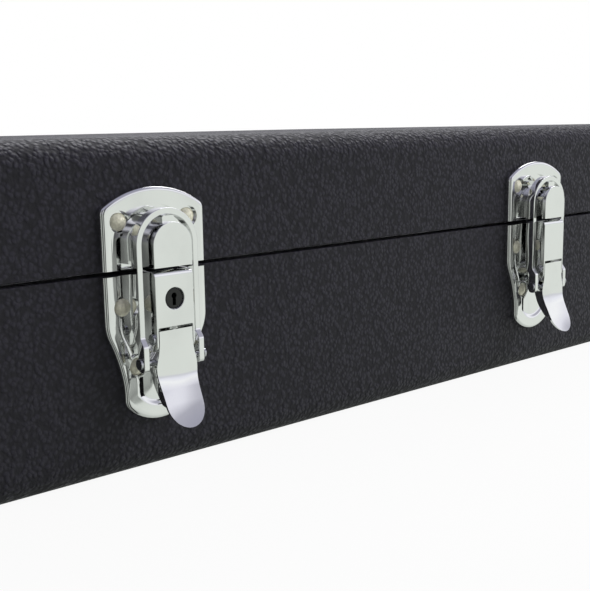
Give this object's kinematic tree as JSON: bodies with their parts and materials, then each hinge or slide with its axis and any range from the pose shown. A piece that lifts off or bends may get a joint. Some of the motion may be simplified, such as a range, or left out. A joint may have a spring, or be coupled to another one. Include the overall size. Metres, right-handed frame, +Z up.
{
  "type": "electric guitar case",
  "caption": "Rectangular hard case for an electric guitar, in grained black vinyl, with a hinged lid, chrome draw latches, one with a key lock, a front handle and a padded interior.",
  "frame": {"origin": "middle of the flat underside of the base, with the case lying flat and closed", "axes": "+X along the case towards the headstock end, -Y the front with the latches and the handle, +Z up out of the lid"},
  "size_m": [1.03, 0.3835, 0.108],
  "materials": {
    "covering": "creased pebble-grain vinyl, satin",
    "shell_wood": "plain plywood",
    "tongue_metal": "satin",
    "plush": "short black plush",
    "latch_chrome": "polished",
    "rivet_metal": "pale nickel on brass",
    "steel": "zinc plated",
    "lock_black": "black, slightly glossy",
    "handle_black": "moulded, fine grain",
    "foot_rubber": "matt"
  },
  "bodies": {
    "base": {"base_covering": "covering", "base_panel": "shell_wood", "base_frame": "shell_wood", "base_tongue": "tongue_metal", "base_lining": "plush", "bout_pad_front": "plush", "bout_pad_rear": "plush", "neck_side_pad": "plush", "neck_rest": "plush", "headstock_pad": "plush", "accessory_box": "plush", "lever_pivots": "steel", "lock_sleeve": "steel", "rivets_latch_base": "rivet_metal", "rivets_hinge_base": "rivet_metal", "rivets_handle": "rivet_metal", "hinge_leaves_base": "latch_chrome", "hinge_pins": "steel", "feet": "foot_rubber", "foot_screws": "steel", "handle_mounts": "latch_chrome", "latch_1_plate": "latch_chrome", "latch_1_housing": "latch_chrome", "latch_2_plate": "latch_chrome", "latch_2_housing": "latch_chrome", "latch_3_plate": "latch_chrome", "latch_3_housing": "latch_chrome", "latch_4_plate": "latch_chrome", "latch_4_housing": "latch_chrome"},
    "lid": {"lid_covering": "covering", "lid_panel": "shell_wood", "lid_frame": "shell_wood", "lid_lining": "plush", "lid_side_lining": "plush", "rivets_latch_lid": "rivet_metal", "rivets_hinge_lid": "rivet_metal", "hinge_leaves_lid": "latch_chrome", "latch_1_keeper": "latch_chrome", "latch_2_keeper": "latch_chrome", "latch_3_keeper": "latch_chrome", "latch_4_keeper": "latch_chrome"},
    "handle": {"handle_wires": "latch_chrome", "handle_grip": "handle_black"},
    "key": {"key_plug": "lock_black", "key_cam": "steel"},
    "latch_1_lever": {"latch_1_lever": "latch_chrome"},
    "latch_1_bail": {"latch_1_bail": "latch_chrome", "latch_1_bail_pins": "steel"},
    "latch_2_lever": {"latch_2_lever": "latch_chrome"},
    "latch_2_bail": {"latch_2_bail": "latch_chrome", "latch_2_bail_pins": "steel"},
    "latch_3_lever": {"latch_3_lever": "latch_chrome"},
    "latch_3_bail": {"latch_3_bail": "latch_chrome", "latch_3_bail_pins": "steel"},
    "latch_4_lever": {"latch_4_lever": "latch_chrome"},
    "latch_4_bail": {"latch_4_bail": "latch_chrome", "latch_4_bail_pins": "steel"}
  },
  "joints": [
    {"name": "lid_hinge", "type": "hinge", "parent": "base", "child": "lid", "pos_m": [0, 0.1784, 0.0668], "axis": [-1, 0, 0], "range_deg": [0, 100]},
    {"name": "handle_swing", "type": "hinge", "parent": "base", "child": "handle", "pos_m": [0, -0.1825, 0.0428], "axis": [-1, 0, 0], "range_deg": [0, 120]},
    {"name": "key_turn", "type": "hinge", "parent": "base", "child": "key", "pos_m": [0.15, -0.183, 0.0586], "axis": [0, -1, 0], "range_deg": [0, 90]},
    {"name": "latch_1_lever_lift", "type": "hinge", "parent": "base", "child": "latch_1_lever", "pos_m": [-0.35, -0.1848, 0.0462], "axis": [-1, 0, 0], "range_deg": [0, 100]},
    {"name": "latch_1_bail_turn", "type": "hinge", "parent": "latch_1_lever", "child": "latch_1_bail", "pos_m": [-0.35, -0.1841, 0.039], "axis": [-1, 0, 0], "range_deg": [-100, 0]},
    {"name": "latch_2_lever_lift", "type": "hinge", "parent": "base", "child": "latch_2_lever", "pos_m": [-0.15, -0.1848, 0.0462], "axis": [-1, 0, 0], "range_deg": [0, 100]},
    {"name": "latch_2_bail_turn", "type": "hinge", "parent": "latch_2_lever", "child": "latch_2_bail", "pos_m": [-0.15, -0.1841, 0.039], "axis": [-1, 0, 0], "range_deg": [-100, 0]},
    {"name": "latch_3_lever_lift", "type": "hinge", "parent": "base", "child": "latch_3_lever", "pos_m": [0.15, -0.1848, 0.0462], "axis": [-1, 0, 0], "range_deg": [0, 100]},
    {"name": "latch_3_bail_turn", "type": "hinge", "parent": "latch_3_lever", "child": "latch_3_bail", "pos_m": [0.15, -0.1841, 0.039], "axis": [-1, 0, 0], "range_deg": [-100, 0]},
    {"name": "latch_4_lever_lift", "type": "hinge", "parent": "base", "child": "latch_4_lever", "pos_m": [0.35, -0.1848, 0.0462], "axis": [-1, 0, 0], "range_deg": [0, 100]},
    {"name": "latch_4_bail_turn", "type": "hinge", "parent": "latch_4_lever", "child": "latch_4_bail", "pos_m": [0.35, -0.1841, 0.039], "axis": [-1, 0, 0], "range_deg": [-100, 0]}
  ],
  "couplings": [
    {"joint": "latch_1_bail_turn", "follows": "latch_1_lever_lift", "ratio": -1},
    {"joint": "latch_2_bail_turn", "follows": "latch_2_lever_lift", "ratio": -1},
    {"joint": "latch_3_bail_turn", "follows": "latch_3_lever_lift", "ratio": -1},
    {"joint": "latch_4_bail_turn", "follows": "latch_4_lever_lift", "ratio": -1}
  ]
}
